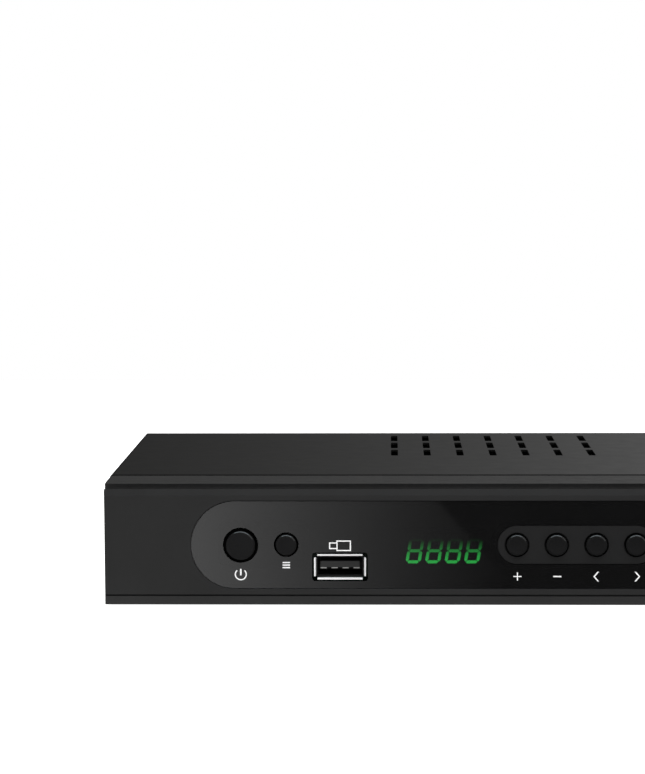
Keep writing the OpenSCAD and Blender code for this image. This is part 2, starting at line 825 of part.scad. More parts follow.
module board_chips() {
    color([0.07, 0.07, 0.07]) {
        package(chip_at + [30, -26], [5, 6.2], 1.6);
        package(chip_at + [12, -32], [5, 6.2], 1.6);
        package(chip_at + [-38, -22], [7, 7], 1);
        for (i = [0:5]) package([chip_at[0] - 12 + i * 5, chip_at[1] - 22], [3.2, 1.6], 0.9);
    }
}

module crystal() {
    color([0.75, 0.75, 0.75]) package(chip_at + [24, -18], [11, 4.4], 3.5);
}

module capacitors() {
    tall = [[-70, -9], [-60, -9], [-70, 3]];
    short = [[-58, 3], [-50, -28], [32, -36], [40, -36]];
    color([0.05, 0.07, 0.14]) {
        for (p = tall) translate([chip_at[0] + p[0], chip_at[1] + p[1], board_top])
            cylinder(h = 12, r = 4);
        for (p = short) translate([chip_at[0] + p[0], chip_at[1] + p[1], board_top])
            cylinder(h = 8, r = 3);
    }
}

module inductors() {
    color([0.13, 0.13, 0.13]) for (dx = [-68, -58, -48])
        package(chip_at + [dx, -21], [7, 7], 4);
}

// ---- Rear sockets ----

tuner_lo = [aerial_out_x - 8, rear_inner - 32.3];
tuner_hi = [aerial_in_x + 8, rear_inner - 0.3];
tuner_h = 15;

module tuner_can() {
    t = 0.4;
    color([0.72, 0.72, 0.72]) difference() {
        block([tuner_lo[0], tuner_lo[1], board_top],
            [tuner_hi[0], tuner_hi[1], board_top + tuner_h]);
        block([tuner_lo[0] + t, tuner_lo[1] + t, board_top - 1],
            [tuner_hi[0] - t, tuner_hi[1] - t, board_top + tuner_h - t]);
        for (x = [aerial_in_x, aerial_out_x]) rod_y(x, tuner_hi[1] - 1, aerial_z, 2, 3.2);
    }
}

// The input has a plain sleeve round a hollow centre contact.
module aerial_in_socket() {
    y = tuner_hi[1];
    reach = y_rear + rear_proud - y;
    color([0.8, 0.8, 0.78]) {
        difference() {
            union() {
                rod_y(aerial_in_x, y, aerial_z, reach, aerial_sleeve_r);
                rod_y(aerial_in_x, y, aerial_z, rear_outer + 0.1 - y, aerial_base_r);
            }
            rod_y(aerial_in_x, y - 1, aerial_z, reach + 2, 4.1);
        }
        tube_y(aerial_in_x, y - 3, aerial_z, reach + 2.5, 1.7, 1.2);
    }
}

// The output has a wider sleeve round a centre pin.
module aerial_out_socket() {
    y = tuner_hi[1];
    reach = y_rear + rear_proud - y;
    color([0.8, 0.8, 0.78]) {
        tube_y(aerial_out_x, y, aerial_z, reach, 5.3, 4.8);
        rod_y(aerial_out_x, y - 3, aerial_z, reach + 2, 1.18);
    }
}

module aerial_insulators() {
    y = tuner_hi[1];
    color([0.88, 0.88, 0.86]) {
        tube_y(aerial_in_x, y, aerial_z, 8.5, 4.05, 1.75);
        tube_y(aerial_out_x, y, aerial_z, 2, 4.75, 1.23);
    }
}

// The outline of the digital video socket, with its two lower corners cut.
module hdmi_outline(grow) {
    w = hdmi_w / 2 + grow;
    h = hdmi_h / 2 + grow;
    cut = 1.6;
    polygon([[-w, h], [w, h], [w, -h + cut], [w - cut, -h], [-w + cut, -h], [-w, -h + cut]]);
}

module hdmi_shell() {
    t = 0.4;
    y0 = rear_inner - 11;
    color([0.78, 0.78, 0.78]) difference() {
        plate_xz(y0, y_rear + 0.3 - y0) translate([hdmi_x, hdmi_z]) hdmi_outline(t);
        plate_xz(y0 + 1, 20) translate([hdmi_x, hdmi_z]) hdmi_outline(0);
    }
}

module hdmi_tongue() {
    y0 = rear_inner - 9.9;
    color([0.04, 0.04, 0.04]) {
        block([hdmi_x - 5.6, y0, hdmi_z - 0.3], [hdmi_x + 5.6, y_rear - 2, hdmi_z + 0.8]);
        block([hdmi_x - 6.9, y0, hdmi_z - 0.4], [hdmi_x + 6.9, y0 + 2.5, hdmi_z + 2.25]);
    }
}

jack_places = concat([for (i = [0:2]) av_x - i * av_pitch], [coax_x]);

module jack_blocks() {
    color([0.05, 0.05, 0.05]) difference() {
        union() {
            block([jack_places[2] - 5, jack_block_front, board_top],
                [jack_places[0] + 5, rear_inner - 0.1, jack_z + 6]);
            block([coax_x - 5, jack_block_front, board_top],
                [coax_x + 5, rear_inner - 0.1, jack_z + 6]);
        }
        for (x = jack_places) rod_y(x, rear_inner - 7, jack_z, 8, jack_contact_r + 0.2);
    }
}

module jack_barrels() {
    y = rear_inner - 0.1;
    reach = y_rear + jack_proud - y;
    color([0.8, 0.8, 0.78]) for (x = jack_places) difference() {
        union() {
            rod_y(x, y, jack_z, reach, jack_barrel_r);
            rod_y(x, y, jack_z, rear_outer + 0.1 - y, jack_base_r);
        }
        rod_y(x, y - 1, jack_z, reach + 2, 3.6);
    }
}

module jack_insert(x) {
    y = rear_inner - 0.1;
    tube_y(x, y, jack_z, y_rear + jack_proud - 0.8 - y, 3.57, jack_contact_r);
}

module video_jack_insert() { color([0.85, 0.7, 0.05]) jack_insert(jack_places[0]); }
module left_audio_jack_insert() { color([0.9, 0.9, 0.88]) jack_insert(jack_places[1]); }
module right_audio_jack_insert() { color([0.7, 0.05, 0.05]) jack_insert(jack_places[2]); }
module coax_jack_insert() { color([0.85, 0.35, 0.05]) jack_insert(jack_places[3]); }

module dc_jack_body() {
    y0 = rear_inner - 13;
    y1 = rear_inner - 0.1;
    color([0.04, 0.04, 0.04]) difference() {
        union() {
            block([dc_x - 4.5, y0, board_top], [dc_x + 4.5, y1, board_top + 11]);
            rod_y(dc_x, y1 - 1, dc_z, y_rear - y1 + 1, 4.1);
        }
        rod_y(dc_x, y_rear - 10, dc_z, 12, dc_bore_r);
    }
}

module dc_jack_pin() {
    color([0.8, 0.8, 0.78]) rod_y(dc_x, y_rear - 10, dc_z, 9, 1);
}

// ---- What is drawn ----

front_bezel();
window_lens();
key_trim();
button_guide();
top_cover();
base_chassis();
rubber_feet();
cover_screws();
bezel_screws();
board_screws();
front_board_screws();
board_standoffs();
power_button();
menu_button();
plus_button();
minus_button();
previous_button();
next_button();
power_plunger();
menu_plunger();
plus_plunger();
minus_plunger();
previous_plunger();
next_plunger();
tact_switches();
front_board();
display_housing();
display_segments();
infrared_receiver();
usb_shell();
usb_tongue();
usb_contacts();
ribbon_cable();
ribbon_sockets();
main_board();
main_chip();
thermal_pad();
heatsink();
memory_chips();
board_chips();
crystal();
capacitors();
inductors();
tuner_can();
aerial_in_socket();
aerial_out_socket();
aerial_insulators();
hdmi_shell();
hdmi_tongue();
jack_blocks();
jack_barrels();
video_jack_insert();
left_audio_jack_insert();
right_audio_jack_insert();
coax_jack_insert();
dc_jack_body();
dc_jack_pin();
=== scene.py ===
import math

import bmesh
import bpy
from mathutils import Euler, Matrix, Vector


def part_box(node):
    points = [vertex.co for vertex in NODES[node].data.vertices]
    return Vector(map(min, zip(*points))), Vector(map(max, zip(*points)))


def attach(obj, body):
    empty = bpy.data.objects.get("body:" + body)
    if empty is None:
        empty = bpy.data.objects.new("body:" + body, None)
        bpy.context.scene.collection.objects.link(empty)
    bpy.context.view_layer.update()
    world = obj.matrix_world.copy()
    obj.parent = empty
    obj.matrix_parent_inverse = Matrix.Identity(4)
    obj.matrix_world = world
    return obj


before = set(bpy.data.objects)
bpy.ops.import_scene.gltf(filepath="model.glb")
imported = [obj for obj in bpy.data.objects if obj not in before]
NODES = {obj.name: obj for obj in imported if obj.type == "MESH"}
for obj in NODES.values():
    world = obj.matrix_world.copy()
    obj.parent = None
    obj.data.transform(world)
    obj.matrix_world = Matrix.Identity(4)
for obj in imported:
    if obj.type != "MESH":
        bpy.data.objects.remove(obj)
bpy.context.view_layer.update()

# Looks of a black television receiver that records to USB: a plastic front with a smoked
# window, round keys and a green display, on a low case of painted steel.
# Lengths on the box are in millimetres until they reach Blender, which holds metres. The
# stage's lengths are in metres.

MM = 0.001
SCENE = bpy.context.scene
KEYS = ["power", "menu", "plus", "minus", "previous", "next"]


def middle(node):
    """The middle of a CAD node's box, in metres."""
    low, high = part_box(node)
    return (low + high) / 2


FRONT_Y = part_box("front_bezel")[0].y
LENS_FRONT_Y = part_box("window_lens")[0].y
REAR_PANEL_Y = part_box("base_chassis")[1].y


# ---- Materials ----

def link(tree, a, b):
    tree.links.new(a, b)


def noise(tree, coords, scale, detail=2.0, stretch=None):
    """A noise texture's value. Scale is in features a metre; stretch squeezes it along an axis."""
    if stretch is not None:
        mapping = tree.nodes.new("ShaderNodeMapping")
        mapping.inputs["Scale"].default_value = stretch
        link(tree, coords, mapping.inputs["Vector"])
        coords = mapping.outputs["Vector"]
    node = tree.nodes.new("ShaderNodeTexNoise")
    node.inputs["Scale"].default_value = scale
    node.inputs["Detail"].default_value = detail
    link(tree, coords, node.inputs["Vector"])
    return node.outputs["Fac"]


def spread(tree, value, low, high):
    """Maps a noise, whose middle values matter, onto low to high."""
    node = tree.nodes.new("ShaderNodeMapRange")
    node.inputs["From Min"].default_value = 0.3
    node.inputs["From Max"].default_value = 0.7
    node.inputs["To Min"].default_value = low
    node.inputs["To Max"].default_value = high
    link(tree, value, node.inputs["Value"])
    return node.outputs["Result"]


def mix_colour(tree, factor, a, b):
    """A colour between a and b."""
    node = tree.nodes.new("ShaderNodeMix")
    node.data_type = "RGBA"
    link(tree, factor, node.inputs["Factor"])
    node.inputs["A"].default_value = (*a, 1)
    node.inputs["B"].default_value = (*b, 1)
    return node.outputs["Result"]


def bump(tree, height, distance_mm, under=None):
    """The normal of a bumped surface, laid over another one if there is one."""
    node = tree.nodes.new("ShaderNodeBump")
    node.inputs["Strength"].default_value = 1.0
    node.inputs["Distance"].default_value = distance_mm * MM
    link(tree, height, node.inputs["Height"])
    if under is not None:
        link(tree, under, node.inputs["Normal"])
    return node.outputs["Normal"]


class Finish:
    """A material with a Principled shader, and what its textures are made from."""

    def __init__(self, name, metallic=0.0, specular=0.5, ior=1.5):
        self.material = bpy.data.materials.new(name)
        self.material.use_nodes = True
        self.tree = self.material.node_tree
        self.shader = self.tree.nodes["Principled BSDF"]
        self.coords = self.tree.nodes.new("ShaderNodeTexCoord").outputs["Object"]
        self.shader.inputs["Metallic"].default_value = metallic
        self.shader.inputs["Specular IOR Level"].default_value = specular
        self.shader.inputs["IOR"].default_value = ior

    def noise(self, size_mm, detail=2.0, stretch=None):
        return noise(self.tree, self.coords, 1 / (size_mm * MM), detail, stretch)

    def colour(self, factor, a, b):
        link(self.tree, mix_colour(self.tree, factor, a, b), self.shader.inputs["Base Color"])

    def rough(self, value, low, high):
        link(self.tree, spread(self.tree, value, low, high), self.shader.inputs["Roughness"])

    def bumps(self, *layers):
        """Layers are (noise, height in mm), laid one on the other."""
        normal = None
        for height, distance in layers:
            normal = bump(self.tree, height, distance, normal)
        link(self.tree, normal, self.shader.inputs["Normal"])


def shade(colour, factor):
    """A colour made darker or lighter by a factor."""
    return tuple(c * factor for c in colour)


def moulded(name, colour, rough=0.45, grain=0.35, depth=0.012, specular=0.4, vary=0.12):
    """Moulded plastic with a fine spark-eroded grain and broad, faint flow marks."""
    finish = Finish(name, specular=specular)
    fine = finish.noise(grain, 3)
    flow = spread(finish.tree, finish.noise(18, 4), 0, 1)
    finish.colour(flow, shade(colour, 1 - vary), shade(colour, 1 + vary))
    finish.rough(finish.noise(4, 3), rough - 0.05, rough + 0.05)
    finish.bumps((finish.noise(7, 2), depth * 0.5), (fine, depth))
    return finish.material


def painted(name, colour, rough=0.3, specular=0.3):
    """Satin paint on sheet steel: orange peel, and a few rubbed, smoother patches."""
    finish = Finish(name, specular=specular)
    patches = spread(finish.tree, finish.noise(6, 4), 0, 1)
    finish.colour(patches, shade(colour, 0.93), shade(colour, 1.07))
    finish.rough(finish.noise(5, 4), rough - 0.02, rough + 0.02)
    finish.bumps((finish.noise(1.1, 2), 0.004), (finish.noise(0.3, 2), 0.004))
    return finish.material


def metal(name, colour, rough=0.25, grain=0.5, stretch=None, depth=0.0008):
    """Plated or bare metal with fine tool marks."""
    finish = Finish(name, metallic=1.0)
    finish.colour(spread(finish.tree, finish.noise(3, 4), 0, 1), shade(colour, 0.9), colour)
    finish.rough(finish.noise(grain, 3, stretch), rough - 0.04, rough + 0.06)
    finish.bumps((finish.noise(grain, 3, stretch), depth))
    return finish.material


def port_metal(name, lip_y, shade_y):
    """Bright nickel on the lips at a port's mouth, darker further in with painted shade."""
    finish = Finish(name, metallic=0.5)
    tree = finish.tree
    split = tree.nodes.new("ShaderNodeSeparateXYZ")
    link(tree, finish.coords, split.inputs["Vector"])
    # Painted shade: the colour runs from bright at the lips to near black further in.
    inward_shade = tree.nodes.new("ShaderNodeMapRange")
    inward_shade.inputs["From Min"].default_value = lip_y
    inward_shade.inputs["From Max"].default_value = shade_y
    link(tree, split.outputs["Y"], inward_shade.inputs["Value"])
    finish.colour(inward_shade.outputs["Result"], (0.95, 0.95, 0.95), (0.02, 0.02, 0.02))
    finish.rough(finish.noise(0.8, 3), 0.4, 0.5)
    finish.bumps((finish.noise(0.6, 3), 0.001))
    return finish.material


def rubbery(name, colour):
    """Dull rubber with a coarse skin, worn paler in patches."""
    finish = Finish(name, specular=0.25)
    worn = spread(finish.tree, finish.noise(2, 4), 0, 1)
    finish.colour(worn, shade(colour, 0.75), shade(colour, 1.5))
    finish.rough(finish.noise(1, 3), 0.7, 0.9)
    finish.bumps((finish.noise(0.25, 3), 0.02))
    return finish.material


def circuit_board(name):
    """Green solder mask, paler over the copper tracks, which run square to each other."""
    finish = Finish(name, specular=0.5)
    tree = finish.tree
    brick = tree.nodes.new("ShaderNodeTexBrick")
    brick.inputs["Scale"].default_value = 1 / (9 * MM)
    brick.inputs["Mortar Size"].default_value = 0.03
    brick.inputs["Color1"].default_value = (0.012, 0.075, 0.03, 1)
    brick.inputs["Color2"].default_value = (0.016, 0.1, 0.036, 1)
    brick.inputs["Mortar"].default_value = (0.03, 0.16, 0.06, 1)
    link(tree, finish.coords, brick.inputs["Vector"])
    link(tree, brick.outputs["Color"], finish.shader.inputs["Base Color"])
    finish.rough(finish.noise(2, 3), 0.28, 0.4)
    finish.bumps((brick.outputs["Fac"], 0.03), (finish.noise(0.5, 2), 0.006))
    return finish.material


def smoked(name):
    """Smoked acrylic, hard and glossy, that lets a little of what is behind it through."""
    finish = Finish(name, specular=0.5, ior=1.49)
    haze = spread(finish.tree, finish.noise(25, 3), 0, 1)
    finish.colour(haze, (0.0016, 0.0016, 0.0017), (0.0024, 0.0024, 0.0025))
    finish.rough(finish.noise(9, 4), 0.03, 0.07)
    finish.bumps((finish.noise(16, 1), 0.003))
    finish.shader.inputs["Alpha"].default_value = 0.88
    return finish.material


# How strongly the display's bars glow at a digit's foot and at its top.
BAR_GLOW_FOOT, BAR_GLOW_TOP = 30.0, 0.1


def lit_bars(name, low_z, high_z):
    """The display's bars, brightest at the foot of a digit and fading out at its top."""
    finish = Finish(name)
    tree = finish.tree
    split = tree.nodes.new("ShaderNodeSeparateXYZ")
    link(tree, finish.coords, split.inputs["Vector"])
    fade = tree.nodes.new("ShaderNodeMapRange")
    fade.interpolation_type = "SMOOTHSTEP"
    fade.inputs["From Min"].default_value = low_z
    fade.inputs["From Max"].default_value = high_z
    fade.inputs["To Min"].default_value = BAR_GLOW_FOOT
    fade.inputs["To Max"].default_value = BAR_GLOW_TOP
    link(tree, split.outputs["Z"], fade.inputs["Value"])
    finish.colour(finish.noise(0.6), (0.01, 0.05, 0.015), (0.015, 0.07, 0.02))
    finish.shader.inputs["Emission Color"].default_value = (0.035, 0.72, 0.11, 1)
    link(tree, fade.outputs["Result"], finish.shader.inputs["Emission Strength"])
    finish.rough(finish.noise(1), 0.5, 0.6)
    return finish.material


BLACK_BEZEL = moulded("bezel_plastic", (0.024, 0.024, 0.024), rough=0.42, specular=0.015, vary=0.05)
# Copies of the bezel plastic that paint light and shade: darker on the top strip and the leaning
# band as painted shade, paler in the groove and on the foot as painted light.
BEZEL_TOP_PAINTED_SHADE = moulded("bezel_top_painted_shade", (0.0186, 0.0186, 0.0183), rough=0.42, specular=0.07, vary=0.05)
BEZEL_BAND_PAINTED_SHADE = moulded("bezel_band_painted_shade", (0.0158, 0.0158, 0.0158), rough=0.42, specular=0.05, vary=0.05)
BEZEL_GROOVE_PAINTED_LIGHT = moulded("bezel_groove_painted_light", (0.05, 0.05, 0.05), rough=0.5, specular=0.015, vary=0.05)
BEZEL_FOOT_PAINTED_LIGHT = moulded("bezel_foot_painted_light", (0.028, 0.028, 0.028), rough=0.42, specular=0.015, vary=0.05)
BLACK_PAINT = painted("cover_paint", (0.0088, 0.0087, 0.0085))
KEY_BLACK = (0.0098, 0.0098, 0.01)
KEY_PLASTIC = moulded("key_plastic", KEY_BLACK, rough=0.3, depth=0.004, specular=0.02, vary=0.06)
# A glossier copy of the key plastic, given only to the upper part of the rim as a painted highlight.
KEY_RIM_PAINTED_HIGHLIGHT = moulded("key_rim_painted_highlight", KEY_BLACK, rough=0.22, depth=0.002, specular=0.5, vary=0.06)
TRIM_BLACK = (0.0152, 0.0152, 0.0154)
TRIM_PLASTIC = moulded("trim_plastic", TRIM_BLACK, rough=0.36, depth=0.006, specular=0.16, vary=0.05)
INNER_PLASTIC = moulded("inner_plastic", (0.014, 0.014, 0.014), rough=0.5)
# Near-black plastic that stands in for shade: on the button guides, the walls of holes, the keys'
# sides and the cover's edge at the seam.
PAINTED_SHADE_BLACK = moulded("painted_shade_black", (0.002, 0.002, 0.002), rough=0.7, specular=0.02)
CHIP = moulded("chip_epoxy", (0.02, 0.02, 0.021), rough=0.5, grain=0.2)
FERRITE = moulded("ferrite", (0.06, 0.06, 0.062), rough=0.6, grain=0.25, depth=0.03)
SLEEVE = moulded("capacitor_sleeve", (0.012, 0.02, 0.06), rough=0.2, depth=0.004)
INSULATOR = moulded("insulator", (0.72, 0.71, 0.67), rough=0.4)
IVORY = moulded("socket_nylon", (0.7, 0.66, 0.52), rough=0.45)
RIBBON = moulded("ribbon", (0.75, 0.75, 0.74), rough=0.3, depth=0.01)
YELLOW = moulded("jack_yellow", (0.78, 0.5, 0.01), rough=0.35)
WHITE = moulded("jack_white", (0.75, 0.75, 0.72), rough=0.35)
RED = moulded("jack_red", (0.5, 0.012, 0.012), rough=0.35)
ORANGE = moulded("jack_orange", (0.75, 0.17, 0.01), rough=0.35)
PRINT = moulded("white_print", (0.93, 0.93, 0.93), rough=0.55, depth=0.004, vary=0.03)
FOOT_RUBBER = rubbery("foot_rubber", (0.012, 0.012, 0.012))
PAD = rubbery("thermal_pad", (0.35, 0.36, 0.5))
NICKEL = metal("nickel_plate", (0.8, 0.79, 0.76), rough=0.22)
TIN = metal("tin_plate", (0.72, 0.72, 0.72), rough=0.3, grain=1.2)
ZINC = metal("zinc_plate", (0.6, 0.6, 0.62), rough=0.35)
BLACKENED = metal("blackened_steel", (0.05, 0.05, 0.052), rough=0.4)
# The port's metal is bright to LIP_DEPTH mm behind the bezel's face, and from the second depth on it
# is dark with painted shade.
LIP_DEPTH, SHADE_DEPTH = 0.32, 0.64
PORT_METAL = port_metal("port_metal", FRONT_Y + LIP_DEPTH * MM, FRONT_Y + SHADE_DEPTH * MM)
CONTACT = metal("contact_plate", (0.42, 0.42, 0.41), rough=0.35)
HEATSINK = metal("bare_aluminium", (0.7, 0.7, 0.72), rough=0.34, grain=0.3, stretch=(8, 1, 8))
BOARD = circuit_board("circuit_board")
SMOKED = smoked("smoked_window")
SEGMENT_LOW, SEGMENT_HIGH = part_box("display_segments")
LIT = lit_bars("lit_bars", SEGMENT_LOW.z, SEGMENT_HIGH.z)

FINISHES = {
    "front_bezel": BLACK_BEZEL, "window_lens": SMOKED, "key_trim": TRIM_PLASTIC,
    # The button guides are painted shade, black where the gaps round the keys lie in shadow.
    "button_guide": PAINTED_SHADE_BLACK, "top_cover": BLACK_PAINT, "base_chassis": BLACK_PAINT,
    "rubber_feet": FOOT_RUBBER, "cover_screws": BLACKENED, "bezel_screws": ZINC,
    "board_screws": ZINC, "front_board_screws": ZINC, "board_standoffs": NICKEL,
    "tact_switches": TIN, "front_board": BOARD, "display_housing": INNER_PLASTIC,
    "display_segments": LIT, "infrared_receiver": CHIP, "usb_shell": PORT_METAL,
    "usb_tongue": INNER_PLASTIC, "usb_contacts": CONTACT, "ribbon_cable": RIBBON,
    "ribbon_sockets": IVORY, "main_board": BOARD, "main_chip": CHIP, "thermal_pad": PAD,
    "heatsink": HEATSINK, "memory_chips": CHIP, "board_chips": CHIP, "crystal": TIN,
    "capacitors": SLEEVE, "inductors": FERRITE, "tuner_can": TIN, "aerial_in_socket": NICKEL,
    "aerial_out_socket": NICKEL, "aerial_insulators": INSULATOR, "hdmi_shell": TIN,
    "hdmi_tongue": INNER_PLASTIC, "jack_blocks": INNER_PLASTIC, "jack_barrels": NICKEL,
    "video_jack_insert": YELLOW, "left_audio_jack_insert": WHITE,
    "right_audio_jack_insert": RED, "coax_jack_insert": ORANGE,
    "dc_jack_body": INNER_PLASTIC, "dc_jack_pin": NICKEL,
}
for key in KEYS:
    FINISHES[f"{key}_button"] = KEY_PLASTIC
    FINISHES[f"{key}_plunger"] = INNER_PLASTIC

for name, material in FINISHES.items():
    mesh = NODES[name].data
    mesh.materials.clear()
    mesh.materials.append(material)


def refinish(name, extra, choose):
    """Adds extra finishes to a piece, and gives each face the one that choose(face) numbers."""
    mesh = NODES[name].data
    for material in extra:
        mesh.materials.append(material)
    for face in mesh.polygons:
        face.material_index = choose(face)


# Where the bezel's groove and foot lie, in mm behind its face, below its top and above its base.
BEZEL_BASE_Z, BEZEL_TOP_Z = (corner.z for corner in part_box("front_bezel"))
GROOVE_FRONT, GROOVE_BACK = 1.02, 4.2
GROOVE_HIGH, GROOVE_LOW = 0.1, 1.8
FACE_DEPTH = 0.5
FOOT_HEIGHT = 2.4
# How much a face's normal points up on the top strip, and on the leaning band.
STRIP_UP, BAND_UP = 0.9, 0.2
# Along Y, a wall's normal has less than WALL_Y and a flat cap's has more than CAP_Y.
WALL_Y, CAP_Y = 0.15, 0.97
# The rim's bright crescent ends where its normal points this much up.
CRESCENT_UP = 0.47

# The numbers of a piece's finishes: 0 is its own, and the rest are those it is given below.
OWN = 0
TOP, BAND, GROOVE, FOOT = range(1, 5)
RIM, SIDE = range(1, 3)
SHADED_FACE = 1


def bezel_finish(face):
    """Painted shade and light: darker, glossier copies on top and on the leaning band, paler copies
    in the groove and the foot.
    """
    behind = (face.center.y - FRONT_Y) / MM
    below_top = (BEZEL_TOP_Z - face.center.z) / MM
    above_base = (face.center.z - BEZEL_BASE_Z) / MM
    if GROOVE_FRONT < behind < GROOVE_BACK and GROOVE_HIGH < below_top < GROOVE_LOW:
        return GROOVE
    if face.normal.z > STRIP_UP:
        return TOP
    if face.normal.z > BAND_UP:
        return BAND
    return FOOT if behind < FACE_DEPTH and above_base < FOOT_HEIGHT else OWN


def key_finish(face):
    """Painted highlight: a glossier copy on the upper part of the rim, where the crescent shows.
    Painted shade: black down the side.
    """
    normal = face.normal
    if abs(normal.y) < WALL_Y:
        return SIDE
    upper = normal.z > CRESCENT_UP * math.hypot(normal.x, normal.z)
    return RIM if upper and WALL_Y < -normal.y < CAP_Y else OWN


def hole_finish(face):
    """Painted shade: black on the walls of the holes and on the rim."""
    return SHADED_FACE if abs(face.normal.y) < WALL_Y else OWN


# The seam is behind the bezel, and the cover is painted black for COVER_EDGE mm from there, as
# painted shade in the seam.
COVER_FRONT_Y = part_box("front_bezel")[1].y
COVER_EDGE = 0.6


def cover_finish(face):
    """Painted shade: black on the edge and the tongue at the seam behind the bezel."""
    return SHADED_FACE if face.center.y < COVER_FRONT_Y + COVER_EDGE * MM else OWN


refinish("front_bezel", [BEZEL_TOP_PAINTED_SHADE, BEZEL_BAND_PAINTED_SHADE, BEZEL_GROOVE_PAINTED_LIGHT, BEZEL_FOOT_PAINTED_LIGHT], bezel_finish)
refinish("key_trim", [PAINTED_SHADE_BLACK], hole_finish)
refinish("window_lens", [PAINTED_SHADE_BLACK], hole_finish)
refinish("top_cover", [PAINTED_SHADE_BLACK], cover_finish)
for key in KEYS:
    refinish(f"{key}_button", [KEY_RIM_PAINTED_HIGHLIGHT, PAINTED_SHADE_BLACK], key_finish)


# ---- Edges of the CAD pieces ----

# How far each piece's sharp edges are rounded, in mm.
EDGE_RADIUS = {
    "front_bezel": 0.15, "window_lens": 0.05, "key_trim": 0.12, "top_cover": 0.15,
    "base_chassis": 0.12, "rubber_feet": 0.4, "cover_screws": 0.12, "usb_shell": 0.06,
    "usb_tongue": 0.12, "jack_barrels": 0.12, "aerial_in_socket": 0.1,
    "aerial_out_socket": 0.1, "hdmi_shell": 0.08, "dc_jack_body": 0.2, "heatsink": 0.1,
    "video_jack_insert": 0.2, "left_audio_jack_insert": 0.2, "right_audio_jack_insert": 0.2,
    "coax_jack_insert": 0.2, "hdmi_tongue": 0.08, "main_chip": 0.1,
}

# Corners nearer than WELD_DISTANCE mm are one. Faces that meet at less than FLAT_ANGLE
# degrees are flat, and edges sharper than SHARP_ANGLE degrees are rounded.
WELD_DISTANCE = 0.001
FLAT_ANGLE, SHARP_ANGLE = 0.3, 32


def round_edges(name, radius):
    """Joins the CAD mesh's split corners, merges its flat faces and rounds its edges."""
    piece = NODES[name]
    weld = piece.modifiers.new("weld", "WELD")
    weld.merge_threshold = WELD_DISTANCE * MM
    flat = piece.modifiers.new("flat", "DECIMATE")
    flat.decimate_type = "DISSOLVE"
    flat.angle_limit = math.radians(FLAT_ANGLE)
    edge = piece.modifiers.new("edge", "BEVEL")
    edge.width = radius * MM
    edge.segments = 3
    edge.limit_method = "ANGLE"
    edge.angle_limit = math.radians(SHARP_ANGLE)
    edge.harden_normals = True
    edge.miter_outer = "MITER_ARC"


for name, radius in EDGE_RADIUS.items():
    round_edges(name, radius)


# ---- White print ----

def bar(x, z, w, h):
    """A rectangle about a point, in mm."""
    l, r, t, b = x - w / 2, x + w / 2, z + h / 2, z - h / 2
    return [(l, b), (r, b), (r, t), (l, t)]


def arc_band(radius, width, start, end, steps=36):
    """An open ring between two angles, in degrees from +X."""
    angles = [math.radians(start + (end - start) * i / steps) for i in range(steps + 1)]
    out, into = radius + width / 2, radius - width / 2
    outer = [(out * math.cos(a), out * math.sin(a)) for a in angles]
    inner = [(into * math.cos(a), into * math.sin(a)) for a in reversed(angles)]
    return outer + inner


def cross(size, width):
    """A plus sign."""
    a, b = size / 2, width / 2
    lower = [(-b, -a), (b, -a), (b, -b), (a, -b), (a, b), (b, b)]
    return lower + [(-x, -z) for x, z in lower]


def chevron(way, w, h, width):
    """An arrow head that points left (-1) or right (1)."""
    step = width * math.hypot(w, h / 2) / (h / 2)
    tip, back = w / 2, -w / 2
    upper = [(tip, 0), (back + step, h / 2), (back, h / 2)]
    lower = [(tip - step, 0), (back, -h / 2), (back + step, -h / 2)]
    return [(way * x, z) for x, z in upper + lower]


def open_frame(x, z, w, h, width):
    """Three sides of a rectangle, open on the right."""
    l, r, t, b = x - w / 2, x + w / 2, z + h / 2, z - h / 2
    inner = [(r, b + width), (l + width, b + width), (l + width, t - width), (r, t - width)]
    return [(r, t), (l, t), (l, b), (r, b)] + inner


def closed_frame(x, z, w, h, width):
    """A rectangle's outline, as two halves that meet in its middle."""
    half = open_frame(-w / 4, 0, w / 2, h, width)
    return [[(x + px, z + pz) for px, pz in half], [(x - px, z + pz) for px, pz in half]]


# How far the back of the print lies in the face under it, in mm.
SUNK = 0.01


def printed(name, outlines, centre, body, facing=-1, thickness=0.02):
    """Flat marks on a face that looks along -Y (or +Y, facing=1), centred on a point in metres."""
    mesh = bmesh.new()
    for outline in outlines:
        rows = []
        for y in (centre.y + facing * thickness * MM, centre.y - facing * SUNK * MM):
            places = [(centre.x + x * MM, y, centre.z + z * MM) for x, z in outline]
            rows.append([mesh.verts.new(place) for place in places])
        mesh.faces.new(rows[0])
        mesh.faces.new(list(reversed(rows[1])))
        for i in range(len(outline)):
            j = (i + 1) % len(outline)
            mesh.faces.new((rows[0][j], rows[0][i], rows[1][i], rows[1][j]))
    bmesh.ops.recalc_face_normals(mesh, faces=mesh.faces)
    data = bpy.data.meshes.new(name)
    mesh.to_mesh(data)
    mesh.free()
    piece = bpy.data.objects.new(name, data)
    SCENE.collection.objects.link(piece)
    data.materials.append(PRINT)
    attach(piece, body)
    return piece


def under(node, drop, right=0.0):
    """A point on the window's face, drop mm below the middle of a node and a little beside it."""
    at = middle(node)
    return Vector((at.x + right * MM, LENS_FRONT_Y, at.z - drop * MM))


